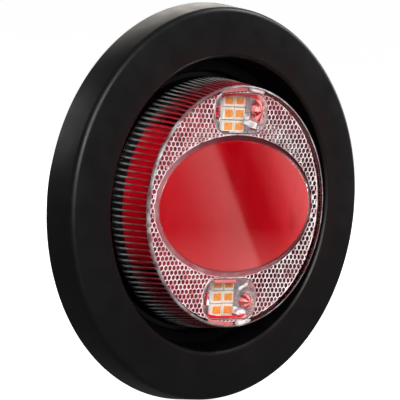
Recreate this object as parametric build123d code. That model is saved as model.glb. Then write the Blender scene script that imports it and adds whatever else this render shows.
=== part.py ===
from build123d import *
import os
from math import cos, pi, sin

# Round sealed LED tail lamp in a rubber grommet, in millimetres.
# Frame: the origin is on the lamp's axis, in the plane of the panel's outer face.
# +Z is up, through the upper window. The lamp shines towards -Y, and +Y is behind the panel.
# Depths below are measured forwards from the panel's outer face, so a point at depth d has y = -d.

# ---- rubber grommet ----
neck_wall = 6.1  # rubber between the lamp's flange and the panel: a 3 in hole for a 2 1/2 in lamp
panel_hole_clearance = 0.1
panel_groove_width = 3.2
flange_reach = 7.35  # how far the flange's front edge stands out past the panel hole
flange_flare = 0.85  # the flange's side flares out towards the panel
flange_face_fall = 1.1  # the flange's face slopes back this much from its mouth to its rim
flange_thickness = 9.2
flange_edge_round = 1.5
flange_back_round = 0.6
recess_floor_margin = 1.25  # between the lamp's flange and the recess's wall
recess_wall_lean = 1.3
recess_depth = 7.7
mouth_round = 0.9
lip_edge_round = 0.3
small_round = 0.4
lip_cover = 1.25  # how far the front lip reaches over the lamp's flange
lip_thickness = 1.9
rear_cover = 3.4  # how far the grommet's rear wall reaches under the lamp's flange
rear_lip_reach = 3.1  # how far the rear lip stands out past the panel hole
rear_lip_rim = 1.5
rear_taper_length = 6.3
rear_tail_wall = 7.85

# ---- lamp outside ----
lamp_flange_radius = 31.75  # 2 1/2 in lamp
lens_flange_thickness = 1.5
housing_flange_thickness = 1.5
turning_gap = 0.15  # between the lamp's flange and the grommet's seat
lens_height = 14.95  # from the lens flange's front to the lens face
lens_lip_gap = 1.3  # between the grommet's lip and the foot of the lens
lens_taper = 1.3  # how much the lens draws in from its foot to its face
lens_face_round = 0.5
flute_count = 120
flute_depth = 0.35
flute_foot = 3.7  # from the lens flange's front to the foot of the flutes
flute_top_margin = 0.6  # plain rim above the flutes
lens_face_thickness = 1.4
lens_front_wall = 0.7
lens_foot_wall = 1.1
oval_end_margin = 2.5  # plain face beyond the oval's ends
oval_bevel = 1.2
oval_recess = 0.5

# ---- clear windows ----
window_width = 17.0
window_height = 9.4
window_corner = 3.9
window_edge_margin = 1.7  # between the window and the edge of the lens face
window_oval_gap = 0.2  # between the window and the oval's bevel

# ---- red inner lens ----
lens_nest_gap = 0.1  # between the clear lens and the red one
inner_skirt_wall = 1.2
inner_skirt_length = 5.0
inner_floor_thickness = 1.0
tower_wall = 1.2
tower_top_thickness = 1.2
oval_pad_height = 0.4  # the red tower's top stands this far into the lens's oval pocket

# ---- reflectors ----
reflector_gap = 0.05
reflector_end_slope = 1.6  # how far the left and right walls lean in
reflector_side_slope = 0.1  # how far the walls above and below lean in
reflector_wall = 0.3
reflector_floor = 0.4

# ---- circuit board and LEDs ----
board_thickness = 1.6
board_edge_gap = 0.1
led_rows = 3
led_columns = 2
led_row_gap = 0.43
led_column_pitch = 3.5
led_package_width = 3.2
led_package_thickness = 0.9
led_rim = 0.25  # white rim round the emitter
emitter_thickness = 0.3

# ---- window optics ----
optic_gap = 0.05
optic_over_led = 0.1
optic_groove_width = 0.3
optic_groove_depth = 0.5

# ---- board screws ----
screw_inset = 7.2  # from the oval's end
screw_rise = 5.0
screw_shank_radius = 1.1
screw_head_radius = 2.0
screw_head_height = 0.9
screw_length = 7.0
screw_slot = 0.5
boss_radius = 2.3

# ---- housing ----
rim_gap = 0.25  # between the housing's rim and the clear lens
rim_wall = 1.2
board_ledge = 2.1
seat_gap = 0.05  # between the red lens's skirt and the housing's shoulder
housing_body_clearance = 0.6  # between the housing's body and the grommet's rear bore
housing_back = 13.0  # depth of the housing's back face behind the panel's outer face
housing_floor_thickness = 2.5
housing_back_round = 1.5
seal_groove_margin = 2.35  # from the flange's edge to the middle of the groove
seal_groove_width = 1.0
seal_groove_depth = 0.6

# ---- plug socket and terminal pins ----
socket_width = 22.0
socket_height = 12.0
socket_wall = 2.2
socket_shroud = 6.0
latch_width = 7.0
latch_height = 1.2
latch_length = 2.4
latch_setback = 1.0
socket_depth = 6.5
pin_pitch = 10.6
pin_radius = 2.28
pin_length = 5.0
pin_tip_round = 0.9
pin_collar_radius = 2.9
pin_stem_radius = 0.6
stem_proud = 0.6
solder_radius = 1.5
solder_height = 0.6

# ---- potting and board parts ----
potting_thickness = 5.0
chip_row_rise = 9.0
chip_spacing = 9.0
driver_size = (5.0, 1.5, 4.0)
rectifier_size = (4.7, 2.4, 3.9)
suppressor_size = (4.6, 2.2, 3.6)
resistor_size = (3.2, 0.6, 1.6)
resistor_count = 6
resistor_pitch = 4.0
capacitor_size = (3.2, 1.8, 2.5)
capacitor_count = 2
lead_thickness = 0.25
lead_width = 0.4
lead_reach = 0.9
driver_leads = 4  # on each side
rectifier_leads = 2
suppressor_leads = 1

# ---- worked out from the sizes above ----
seat_radius = lamp_flange_radius + turning_gap
neck_radius = seat_radius + neck_wall
panel_hole_radius = neck_radius + panel_hole_clearance
flange_front_radius = panel_hole_radius + flange_reach
flange_rear_radius = flange_front_radius + flange_flare
recess_floor_radius = lamp_flange_radius + recess_floor_margin
recess_mouth_radius = recess_floor_radius + recess_wall_lean
lip_radius = lamp_flange_radius - lip_cover
rear_bore_radius = lamp_flange_radius - rear_cover
rear_tail_radius = rear_bore_radius + rear_tail_wall
rear_lip_radius = panel_hole_radius + rear_lip_reach
lip_front = flange_thickness - recess_depth
seat_front = lip_front - lip_thickness
lens_flange_top = seat_front - turning_gap
lens_flange_bottom = lens_flange_top - lens_flange_thickness
housing_flange_bottom = lens_flange_bottom - housing_flange_thickness
seat_back = housing_flange_bottom - turning_gap
lens_foot_radius = lip_radius - lens_lip_gap
lens_face_radius = lens_foot_radius - lens_taper
lens_face = lens_flange_top + lens_height
lens_inside_face = lens_face - lens_face_thickness
flute_bottom = lens_flange_top + flute_foot
flute_top = lens_face - flute_top_margin
window_top = lens_face_radius - window_edge_margin
window_centre_height = window_top - window_height / 2
oval_half_width = lens_face_radius - oval_end_margin - oval_bevel
oval_half_height = window_top - window_height - window_oval_gap - oval_bevel
inner_face = lens_inside_face - lens_nest_gap
skirt_bottom = inner_face - inner_skirt_length
inner_floor = skirt_bottom + inner_floor_thickness
board_top = skirt_bottom - seat_gap
board_bottom = board_top - board_thickness
led_top = board_top + led_package_thickness
tray_side_inset = reflector_gap + reflector_side_slope + reflector_wall
led_row_pitch = (window_height - 2 * tray_side_inset) / led_rows
led_package_height = led_row_pitch - led_row_gap
emitter_width = led_package_width - 2 * led_rim
emitter_height = led_package_height - 2 * led_rim
screw_across = oval_half_width - screw_inset
seal_groove_radius = lamp_flange_radius - seal_groove_margin
housing_body_radius = rear_bore_radius - housing_body_clearance
housing_floor = housing_floor_thickness - housing_back
socket_mouth = -housing_back - socket_shroud
socket_floor = socket_mouth + socket_depth
pin_half_pitch = pin_pitch / 2


def at(x, depth, z):
    """Place something at x and z, a given depth ahead of the panel's outer face."""
    return Pos(x, -depth, z)


def sketch_plane(depth):
    """A plane square to the lamp's axis, with its normal towards the front and local up along +Z."""
    return Plane(origin=(0, -depth, 0), x_dir=(1, 0, 0), z_dir=(0, -1, 0))


def turned(corners):
    """Turn a closed outline about the lamp's axis. Each corner is (radius, depth, rounding)."""
    points = [(radius, -depth) for radius, depth, _ in corners]
    rounding = [corner[2] for corner in corners]
    outline = FilletPolyline(*points, radius=rounding, close=True)
    return revolve(make_face(outline), Axis.Y)


def disc(radius, front, back, x=0.0, z=0.0):
    """A round plate or post between two depths, with its axis along the lamp's."""
    outline = sketch_plane(back) * Pos(x, z) * Circle(radius)
    return extrude(outline, amount=front - back)


def brick(size, x, back, z):
    """A block of the given x, depth and z size that stands forwards from a depth."""
    width, thickness, height = size
    return at(x, back + thickness / 2, z) * Box(width, thickness, height)


def between(front_outline, front, back_outline, back):
    """A tapered solid between two flat outlines at two depths."""
    return loft([sketch_plane(back) * back_outline, sketch_plane(front) * front_outline], ruled=True)


def lens_inner_radius(depth):
    """Inside radius of the clear lens's wall, which widens towards its flange."""
    front = lens_face_radius - flute_depth - lens_front_wall
    foot = lens_foot_radius - flute_depth - lens_foot_wall
    share = (lens_inside_face - depth) / (lens_inside_face - lens_flange_bottom)
    return front + share * (foot - front)


# ---- the housing and the board fit inside the clear lens ----
housing_rim_radius = lens_inner_radius(board_top) - rim_gap
board_pocket_radius = housing_rim_radius - rim_wall
board_radius = board_pocket_radius - board_edge_gap
housing_wall_inner = board_pocket_radius - board_ledge


def flute_outline(tip_radius):
    """A ring of ridges: tips at tip_radius with valleys flute_depth lower."""
    step = pi / flute_count
    valley_radius = tip_radius - flute_depth
    points = []
    for index in range(2 * flute_count):
        radius = tip_radius if index % 2 == 0 else valley_radius
        points.append((radius * cos(index * step), radius * sin(index * step)))
    return make_face(Polyline(*points, close=True))


def flute_tip_radius(depth):
    """Radius across the flute tips, which taper in towards the lens face."""
    share = (lens_face - depth) / (lens_face - flute_bottom)
    return lens_face_radius + share * (lens_foot_radius - lens_face_radius)


def window_outline(end_inset=0.0, side_inset=0.0):
    """Round-cornered outline of a clear window, drawn in from its ends and from above and below."""
    width = window_width - 2 * end_inset
    height = window_height - 2 * side_inset
    return RectangleRounded(width, height, window_corner - end_inset)


def led_places(side):
    """(x, z) of each LED in one window. side is +1 for the upper window and -1 for the lower."""
    places = []
    for column in range(led_columns):
        for row in range(led_rows):
            x = (column - (led_columns - 1) / 2) * led_column_pitch
            rise = (row - (led_rows - 1) / 2) * led_row_pitch
            places.append((x, side * (window_centre_height + rise)))
    return places


def screw_places():
    """(x, z) of each board screw and its boss."""
    return [(x, z) for x in (-screw_across, screw_across) for z in (-screw_rise, screw_rise)]


def pin_places():
    """x of the power pin and of the ground pin."""
    return {"power": -pin_half_pitch, "ground": pin_half_pitch}


def rubber_grommet():
    """Ring with a thick front flange, a groove for the panel and a seat for the lamp's flange."""
    lip_back = -panel_groove_width
    tail = lip_back - rear_lip_rim - rear_taper_length
    return turned(
        [
            (recess_mouth_radius, flange_thickness, mouth_round),
            (flange_front_radius, flange_thickness - flange_face_fall, flange_edge_round),
            (flange_rear_radius, 0.0, flange_back_round),
            (neck_radius, 0.0, 0.0),
            (neck_radius, lip_back, 0.0),
            (rear_lip_radius, lip_back, small_round),
            (rear_lip_radius, lip_back - rear_lip_rim, small_round),
            (rear_tail_radius, tail, small_round),
            (rear_bore_radius, tail, small_round),
            (rear_bore_radius, seat_back, small_round),
            (seat_radius, seat_back, 0.0),
            (seat_radius, seat_front, 0.0),
            (lip_radius, seat_front, lip_edge_round),
            (lip_radius, lip_front, lip_edge_round),
            (recess_floor_radius, lip_front, small_round),
        ]
    )


def outer_lens():
    """Clear cap: flange, fluted wall, flat face with a shallow oval recess."""
    valley_foot = lens_foot_radius - flute_depth
    valley_face = lens_face_radius - flute_depth
    body = turned(
        [
            (0.0, lens_face, 0.0),
            (lens_face_radius, lens_face, lens_face_round),
            (flute_tip_radius(flute_top), flute_top, 0.0),
            (valley_face, flute_top, 0.0),
            (valley_foot, flute_bottom, 0.0),
            (valley_foot, lens_flange_top, 0.0),
            (lamp_flange_radius, lens_flange_top, lip_edge_round),
            (lamp_flange_radius, lens_flange_bottom, 0.0),
            (0.0, lens_flange_bottom, 0.0),
        ]
    )
    cavity = turned(
        [
            (0.0, lens_inside_face, 0.0),
            (lens_inner_radius(lens_inside_face), lens_inside_face, small_round),
            (lens_inner_radius(lens_flange_bottom), lens_flange_bottom, 0.0),
            (0.0, lens_flange_bottom, 0.0),
        ]
    )
    flutes = between(
        flute_outline(flute_tip_radius(flute_top)),
        flute_top,
        flute_outline(lens_foot_radius),
        flute_bottom,
    )
    recess = between(
        Ellipse(oval_half_width + oval_bevel, oval_half_height + oval_bevel),
        lens_face,
        Ellipse(oval_half_width, oval_half_height),
        lens_face - oval_recess,
    )
    pocket_outline = Ellipse(oval_half_width - lens_nest_gap, oval_half_height - lens_nest_gap)
    pocket = extrude(sketch_plane(lens_inside_face) * pocket_outline, amount=oval_pad_height)
    return body + flutes - cavity - recess - pocket


def red_inner_lens():
    """Red bowl under the clear lens: a skirt, a floor, and an oval tower up to the lens's pocket."""
    skirt_front = lens_inner_radius(inner_face) - lens_nest_gap
    skirt_foot = lens_inner_radius(skirt_bottom) - lens_nest_gap
    skirt_inside = skirt_front - inner_skirt_wall
    bowl = turned(
        [
            (0.0, inner_floor, 0.0),
            (skirt_inside, inner_floor, small_round),
            (skirt_inside, inner_face, 0.0),
            (skirt_front, inner_face, small_round),
            (skirt_foot, skirt_bottom, 0.0),
            (0.0, skirt_bottom, 0.0),
        ]
    )
    pad_margin = 2 * lens_nest_gap
    tower_width = oval_half_width - pad_margin
    tower_height = oval_half_height - pad_margin
    tower_top = inner_face + oval_pad_height
    hollow_top = tower_top - tower_top_thickness
    tower = sketch_plane(skirt_bottom) * Ellipse(tower_width, tower_height)
    hollow = sketch_plane(skirt_bottom) * Ellipse(tower_width - tower_wall, tower_height - tower_wall)
    bowl += extrude(tower, amount=tower_top - skirt_bottom)
    bowl -= extrude(hollow, amount=hollow_top - skirt_bottom)
    for side in (-1, 1):
        opening = sketch_plane(skirt_bottom) * Pos(0, side * window_centre_height) * window_outline()
        bowl -= extrude(opening, amount=inner_face - skirt_bottom)
    return bowl


def lens_seal():
    """Sealing ring in the housing flange's groove, under the lens flange."""
    inner = seal_groove_radius - seal_groove_width / 2
    outer = seal_groove_radius + seal_groove_width / 2
    bottom = lens_flange_bottom - seal_groove_depth
    return disc(outer, lens_flange_bottom, bottom) - disc(inner, lens_flange_bottom, bottom)


def circuit_board():
    """Round board with holes for the terminal pins' stems and the screws."""
    board = disc(board_radius, board_top, board_bottom)
    for x in pin_places().values():
        board -= disc(pin_stem_radius, board_top, board_bottom, x)
    for x, z in screw_places():
        board -= disc(screw_shank_radius, board_top, board_bottom, x, z)
    return board


def led_packages(side):
    """White LED bodies of one window, each with a pocket for its emitter."""
    bodies = []
    for x, z in led_places(side):
        body = brick((led_package_width, led_package_thickness, led_package_height), x, board_top, z)
        pocket_bottom = led_top - emitter_thickness
        body -= brick((emitter_width, emitter_thickness, emitter_height), x, pocket_bottom, z)
        bodies.append(body)
    return Compound(children=bodies)


def led_emitters(side):
    """Phosphor fillings of one window's LEDs."""
    size = (emitter_width, emitter_thickness, emitter_height)
    fills = [brick(size, x, led_top - emitter_thickness, z) for x, z in led_places(side)]
    return Compound(children=fills)


def tray_outline(depth, inset=0.0):
    """Outline of a reflector's outer surface at a depth, drawn in by an inset."""
    share = (inner_face - depth) / (inner_face - board_top)
    end_inset = reflector_gap + share * reflector_end_slope + inset
    side_inset = reflector_gap + share * reflector_side_slope + inset
    return window_outline(end_inset, side_inset)


def tapered_block(front, back, inset):
    """A block that follows the reflector's sloped walls between two depths."""
    return between(tray_outline(front, inset), front, tray_outline(back, inset), back)


def reflector(side):
    """Metallised tray in a window: sloped walls from the window's edge down to the LEDs."""
    floor_top = board_top + reflector_floor
    tray = tapered_block(inner_face, board_top, 0.0)
    tray -= tapered_block(inner_face, floor_top, reflector_wall)
    opening_width = (led_columns - 1) * led_column_pitch + led_package_width + 2 * reflector_gap
    opening_height = (led_rows - 1) * led_row_pitch + led_package_height + 2 * reflector_gap
    tray -= brick((opening_width, reflector_floor, opening_height), 0, board_top, 0)
    return Pos(0, 0, side * window_centre_height) * tray


def window_optic(side):
    """Clear block that fills a reflector over its LEDs, with a grid of grooves between the LEDs."""
    optic = tapered_block(inner_face, led_top + optic_over_led, reflector_wall + optic_gap)
    groove_bottom = inner_face - optic_groove_depth
    for row in range(1, led_rows):
        rise = (row - led_rows / 2) * led_row_pitch
        groove = (window_width, optic_groove_depth, optic_groove_width)
        optic -= brick(groove, 0, groove_bottom, rise)
    for column in range(1, led_columns):
        across = (column - led_columns / 2) * led_column_pitch
        groove = (optic_groove_width, optic_groove_depth, window_height)
        optic -= brick(groove, across, groove_bottom, 0)
    return Pos(0, 0, side * window_centre_height) * optic


def lamp_housing():
    """Black cup with the lamp's flange, posts for the board's screws, and a plug socket behind."""
    shell = turned(
        [
            (housing_wall_inner, board_bottom, 0.0),
            (board_pocket_radius, board_bottom, 0.0),
            (board_pocket_radius, board_top, 0.0),
            (housing_rim_radius, board_top, 0.0),
            (housing_rim_radius, lens_flange_bottom, 0.0),
            (lamp_flange_radius, lens_flange_bottom, 0.0),
            (lamp_flange_radius, housing_flange_bottom, small_round),
            (housing_body_radius, housing_flange_bottom, small_round),
            (housing_body_radius, -housing_back, housing_back_round),
            (0.0, -housing_back, 0.0),
            (0.0, housing_floor, 0.0),
            (housing_wall_inner, housing_floor, 0.0),
        ]
    )
    for x, z in screw_places():
        shell += disc(boss_radius, board_bottom, housing_floor, x, z)
        shell -= disc(screw_shank_radius, board_bottom, board_top - screw_length, x, z)
    outer_slot = SlotOverall(socket_width + 2 * socket_wall, socket_height + 2 * socket_wall)
    shell += extrude(sketch_plane(socket_mouth) * outer_slot, amount=-housing_back - socket_mouth)
    latch_middle = socket_height / 2 + socket_wall
    latch = (latch_width, latch_length, 2 * latch_height)
    shell += brick(latch, 0, socket_mouth + latch_setback, latch_middle)
    inner_slot = SlotOverall(socket_width, socket_height)
    shell -= extrude(sketch_plane(socket_mouth) * inner_slot, amount=socket_floor - socket_mouth)
    for x in pin_places().values():
        shell -= disc(pin_collar_radius, housing_floor, socket_floor, x)
    return shell - lens_seal()


def terminal_pin(x):
    """Male pin in the plug socket, with a collar in the housing's floor and a stem up to the board."""
    tip = socket_floor - pin_length
    stem_end = board_top + stem_proud
    corners = [
        (0.0, stem_end, 0.0),
        (pin_stem_radius, stem_end, 0.0),
        (pin_stem_radius, housing_floor, 0.0),
        (pin_collar_radius, housing_floor, 0.0),
        (pin_collar_radius, socket_floor, 0.0),
        (pin_radius, socket_floor, 0.0),
        (pin_radius, tip, pin_tip_round),
        (0.0, tip, 0.0),
    ]
    return Pos(x, 0, 0) * turned(corners)


def solder_joints():
    """Cone of solder round each pin's stem on the board."""
    top = board_top + solder_height
    joint = turned(
        [
            (pin_stem_radius, board_top, 0.0),
            (solder_radius, board_top, 0.0),
            (pin_stem_radius, top, 0.0),
        ]
    )
    return Compound(children=[Pos(x, 0, 0) * joint for x in pin_places().values()])


def board_screws():
    """Pan-head screws that go through the board into the housing's bosses."""
    screws = []
    for x, z in screw_places():
        screw = disc(screw_shank_radius, board_top, board_top - screw_length, x, z)
        screw += disc(screw_head_radius, board_top + screw_head_height, board_top, x, z)
        slot_bottom = board_top + screw_head_height / 2
        screw -= brick((2 * screw_head_radius, screw_head_height, screw_slot), x, slot_bottom, z)
        screws.append(screw)
    return Compound(children=screws)


def potting_compound():
    """Sealing resin in the bottom of the housing, round the pins' stems."""
    top = housing_floor + potting_thickness
    resin = disc(housing_wall_inner, top, housing_floor)
    for x in pin_places().values():
        resin -= disc(pin_stem_radius, top, housing_floor, x)
    for x, z in screw_places():
        resin -= disc(boss_radius, top, housing_floor, x, z)
    return resin


def chip_with_leads(size, x, z, leads_per_side):
    """Moulded chip on the back of the board with bent flat leads on two sides."""
    width, thickness, height = size
    body = brick(size, x, board_bottom - thickness - lead_thickness, z)
    pitch = width / leads_per_side
    for index in range(leads_per_side):
        lead_x = x + (index - (leads_per_side - 1) / 2) * pitch
        foot = (lead_width, lead_thickness, height + 2 * lead_reach)
        body += brick(foot, lead_x, board_bottom - lead_thickness, z)
    return body


def chip_row(size, count, z):
    """A row of plain chip parts on the back of the board."""
    thickness = size[1]
    middle = (count - 1) / 2
    chips = [
        brick(size, (index - middle) * resistor_pitch, board_bottom - thickness, z)
        for index in range(count)
    ]
    return Compound(children=chips)


def build_nodes():
    """Every sub-part by its node name."""
    pins = pin_places()
    return {
        "rubber_grommet": rubber_grommet(),
        "lamp_housing": lamp_housing(),
        "outer_lens": outer_lens(),
        "red_inner_lens": red_inner_lens(),
        "lens_seal": lens_seal(),
        "circuit_board": circuit_board(),
        "reflector_upper": reflector(1),
        "reflector_lower": reflector(-1),
        "window_optic_upper": window_optic(1),
        "window_optic_lower": window_optic(-1),
        "led_packages_upper": led_packages(1),
        "led_packages_lower": led_packages(-1),
        "led_emitters_upper": led_emitters(1),
        "led_emitters_lower": led_emitters(-1),
        "board_screws": board_screws(),
        "terminal_pin_power": terminal_pin(pins["power"]),
        "terminal_pin_ground": terminal_pin(pins["ground"]),
        "solder_joints": solder_joints(),
        "potting_compound": potting_compound(),
        "driver_chip": chip_with_leads(driver_size, 0, chip_row_rise, driver_leads),
        "bridge_rectifier": chip_with_leads(
            rectifier_size, -chip_spacing, chip_row_rise, rectifier_leads
        ),
        "surge_suppressor": chip_with_leads(
            suppressor_size, chip_spacing, chip_row_rise, suppressor_leads
        ),
        "chip_resistors": chip_row(resistor_size, resistor_count, -chip_row_rise),
        "chip_capacitors": chip_row(capacitor_size, capacitor_count, -chip_row_rise - resistor_pitch),
    }


os.makedirs("parts", exist_ok=True)
for node, shape in build_nodes().items():
    export_step(shape, f"parts/{node}.step")
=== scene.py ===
import math

import bmesh
import bpy
from bpy.props import FloatProperty, FloatVectorProperty, IntProperty, PointerProperty
from mathutils import Matrix, Vector


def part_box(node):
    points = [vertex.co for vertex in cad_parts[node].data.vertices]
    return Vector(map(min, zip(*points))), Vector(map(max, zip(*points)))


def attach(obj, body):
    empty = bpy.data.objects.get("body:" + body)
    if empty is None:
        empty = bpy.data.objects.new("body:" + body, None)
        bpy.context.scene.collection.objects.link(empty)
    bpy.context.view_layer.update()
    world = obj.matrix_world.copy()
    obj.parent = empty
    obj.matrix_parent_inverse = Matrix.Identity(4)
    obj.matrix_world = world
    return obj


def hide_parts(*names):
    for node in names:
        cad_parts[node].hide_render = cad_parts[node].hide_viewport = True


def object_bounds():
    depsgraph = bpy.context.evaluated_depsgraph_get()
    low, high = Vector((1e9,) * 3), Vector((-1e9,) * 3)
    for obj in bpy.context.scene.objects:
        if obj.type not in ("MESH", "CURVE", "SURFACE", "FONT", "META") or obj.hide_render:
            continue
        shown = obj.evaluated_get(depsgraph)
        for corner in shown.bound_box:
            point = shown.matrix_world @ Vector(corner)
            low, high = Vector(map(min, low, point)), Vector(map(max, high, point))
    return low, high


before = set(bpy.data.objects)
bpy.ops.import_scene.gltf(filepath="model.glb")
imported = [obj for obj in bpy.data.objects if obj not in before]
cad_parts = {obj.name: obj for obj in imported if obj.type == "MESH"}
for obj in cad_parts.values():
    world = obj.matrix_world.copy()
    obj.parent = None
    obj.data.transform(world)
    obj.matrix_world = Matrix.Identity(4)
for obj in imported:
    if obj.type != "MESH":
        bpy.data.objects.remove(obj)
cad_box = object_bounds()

bl_info = {
    "name": "Round LED tail lamp",
    "version": (1, 0, 0),
    "blender": (4, 5, 0),
    "location": "3D View > Sidebar > Tail Lamp",
    "description": "Finished surfaces for a round LED tail lamp in a rubber grommet",
    "category": "Object",
}

MM = 0.001
SIDES = {"upper": 1, "lower": -1}

# The lamp shines towards -Y. Fronts and backs below are y values, so a front is the smaller one.
GROMMET_LOW, GROMMET_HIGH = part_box("rubber_grommet")
LENS_LOW, LENS_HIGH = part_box("outer_lens")
RED_LOW, RED_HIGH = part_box("red_inner_lens")
HOUSING_FLANGE_BACK = LENS_HIGH.y + 1.5 * MM


def middle_of(node):
    """The middle of a CAD node's box."""
    low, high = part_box(node)
    return (low + high) / 2


WINDOW_CENTRE = middle_of("reflector_upper").z
NOISE_LOW, NOISE_HIGH = 0.3, 0.7  # most of a noise's values lie between these
FLOOR_HALF = 6.0
LED_COLUMNS, LED_ROWS = 2, 3
CAD_LED_WIDTH, CAD_LED_HEIGHT = 3.2 * MM, 2.403 * MM

# Each soft light: name, place, size, power in watts, tint. All point at the lamp.
LIGHTS = [
    ("key", (-0.4, -1.05, 0.42), 0.65, 9.5, (1.0, 1.0, 1.0)),
    ("top_back", (0.42, 0.66, 0.46), 0.55, 2.6, (1.0, 0.94, 0.87)),
    ("left", (-0.56, 0.66, 0.44), 0.4, 1.1, (1.0, 1.0, 1.0)),
    ("right", (0.95, 0.05, 0.25), 0.4, 1.3, (1.0, 1.0, 1.0)),
    ("right_top", (0.75, -0.15, 0.65), 0.35, 2.6, (1.0, 1.0, 1.0)),
]

# The card stands where the lamp's face mirrors it to the camera.
CARD_CENTRE = Vector((0.1325, -0.15, -0.012))
CARD_HALF = 45 * MM
CARD_REACH = 25 * MM  # how far the light's bands reach from the card's middle
CARD_SPREAD = 1.198  # how much larger the face's mirror image is on the card
CARD_SLANT = Vector((1.0, 0.0, 0.596))
CARD_STRENGTH = 1.3
CARD_STOPS = [
    (0.0, (0.12, 0.02, 0.02)),
    (0.2, (0.3, 0.07, 0.07)),
    (0.5, (0.75, 0.36, 0.34)),
    (0.53, (0.02, 0.0, 0.0)),
    (0.7, (0.05, 0.0, 0.0)),
    (0.82, (0.4, 0.1, 0.1)),
    (0.95, (1.0, 0.36, 0.36)),
]


def length(name, description, millimetres):
    """A length setting whose default is given in millimetres."""
    return FloatProperty(
        name=name, description=description, default=millimetres * MM, unit="LENGTH", precision=5
    )


def colour(name, description, rgb):
    """A colour setting, in linear red, green and blue."""
    return FloatVectorProperty(
        name=name, description=description, default=rgb, subtype="COLOR", size=3, min=0.0, max=1.0
    )


def angle(name, description, degrees):
    """An angle setting whose default is given in degrees."""
    return FloatProperty(name=name, description=description, default=math.radians(degrees), unit="ROTATION")


class GrommetSizes(bpy.types.PropertyGroup):
    flange_front_radius: length("Flange front radius", "Radius of the flange's front edge", 45.45)
    flange_flare: length("Flange flare", "How much wider the flange is at the panel", 0.85)
    face_fall: length("Face fall", "How far the flange's face slopes back to its rim", 1.1)
    edge_round: length("Edge round", "Round on the flange's front edge", 1.5)
    mouth_radius: length("Recess mouth", "Radius of the recess at the front", 34.3)
    mouth_round: length("Mouth round", "Round on the recess's mouth", 0.9)
    recess_depth: length("Recess depth", "From the flange's front to the lip", 7.7)
    recess_floor_radius: length("Recess floor", "Radius of the recess at its floor", 33.0)
    lip_radius: length("Lip radius", "Radius of the opening that the lens comes through", 30.5)
    lip_thickness: length("Lip thickness", "Thickness of the front lip", 1.9)
    seat_gap: length("Seat gap", "Gap between the lamp's flange and its seat", 0.15)
    neck_radius: length("Neck radius", "Radius of the groove for the panel", 38.0)
    groove_width: length("Groove width", "Width of the groove for the panel", 3.2)
    rear_lip_radius: length("Rear lip radius", "Radius of the lip behind the panel", 41.2)
    rear_lip_rim: length("Rear lip rim", "Width of the rear lip's edge", 1.5)
    tail_radius: length("Tail radius", "Outside radius at the back", 36.2)
    bore_radius: length("Bore radius", "Radius of the bore behind the lamp's flange", 28.35)
    rib_count: IntProperty(name="Ribs", description="Fine ribs in the recess's wall", default=180)
    rib_height: length("Rib height", "Height of the recess's ribs", 0.12)


class LensSizes(bpy.types.PropertyGroup):
    face_radius: length("Face radius", "Radius of the lens's flat face", 27.9)
    face_round: length("Face round", "Round on the edge of the face", 0.5)
    foot_radius: length("Foot radius", "Radius across the flutes at their foot", 29.2)
    flute_depth: length("Flute depth", "From a flute's tip to its valley", 0.35)
    flute_count: IntProperty(name="Flutes", description="Flutes round the lens", default=120)
    flute_foot: length("Flute foot", "From the lens flange's front to the flutes", 3.7)
    flute_rim: length("Plain rim", "Plain rim between the flutes and the face", 0.6)
    flange_thickness: length("Flange thickness", "Thickness of the lens's flange", 1.5)
    wall_front_radius: length("Inside radius, front", "Inside radius behind the face", 26.85)
    wall_foot_radius: length("Inside radius, foot", "Inside radius at the flange", 27.75)
    face_thickness: length("Face thickness", "Thickness of the lens's face", 1.4)
    oval_half_width: length("Oval half width", "Half the width of the oval recess's floor", 24.2)
    oval_half_height: length("Oval half height", "Half the height of the oval recess's floor", 15.4)
    oval_bevel: length("Oval bevel", "Width of the oval recess's sloped edge", 1.2)
    oval_recess: length("Oval recess", "Depth of the oval recess", 0.5)
    pocket_depth: length("Pocket depth", "Depth of the pocket behind the oval", 0.4)
    red_wall: length("Red wall", "Thickness of the red lens's wall", 1.2)
    red_gap: length("Red gap", "Gap between the red lens and the clear one", 0.1)
    sleeve_length: length("Sleeve length", "How far the red sleeve reaches behind the skirt", 2.6)
    sleeve_wall: length("Sleeve wall", "Thickness of the red sleeve", 0.12)


class PrismSizes(bpy.types.PropertyGroup):
    cell_width: length("Cell width", "Pitch of the hexagonal prisms along a row", 1.25)
    row_pitch: length("Row pitch", "Pitch of the rows of prisms", 1.09)
    ridge_width: length("Ridge width", "Width of the ridge between two prisms", 0.26)
    ridge_height: length("Ridge height", "How far a ridge stands above its prism's edge", 0.16)
    prism_depth: length("Prism depth", "Depth of a prism's point below its edge", 0.3)
    margin: length("Margin", "Plain edge round the field of prisms", 0.05)


class WindowSizes(bpy.types.PropertyGroup):
    width: length("Width", "Width of a window", 17.0)
    height: length("Height", "Height of a window", 9.4)
    corner: length("Corner", "Radius of a window's corners", 3.9)
    led_width: length("LED width", "Width of an LED's body", 3.3)
    led_height: length("LED height", "Height of an LED's body", 2.65)
    led_bevel: length("LED bevel", "Bevel on the edges of an LED's body", 0.12)
    phosphor_width: length("Phosphor width", "Width of an LED's amber square", 2.7)
    phosphor_height: length("Phosphor height", "Height of an LED's amber square", 1.75)
    phosphor_bevel: length("Phosphor bevel", "Bevel on the amber square", 0.14)


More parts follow.
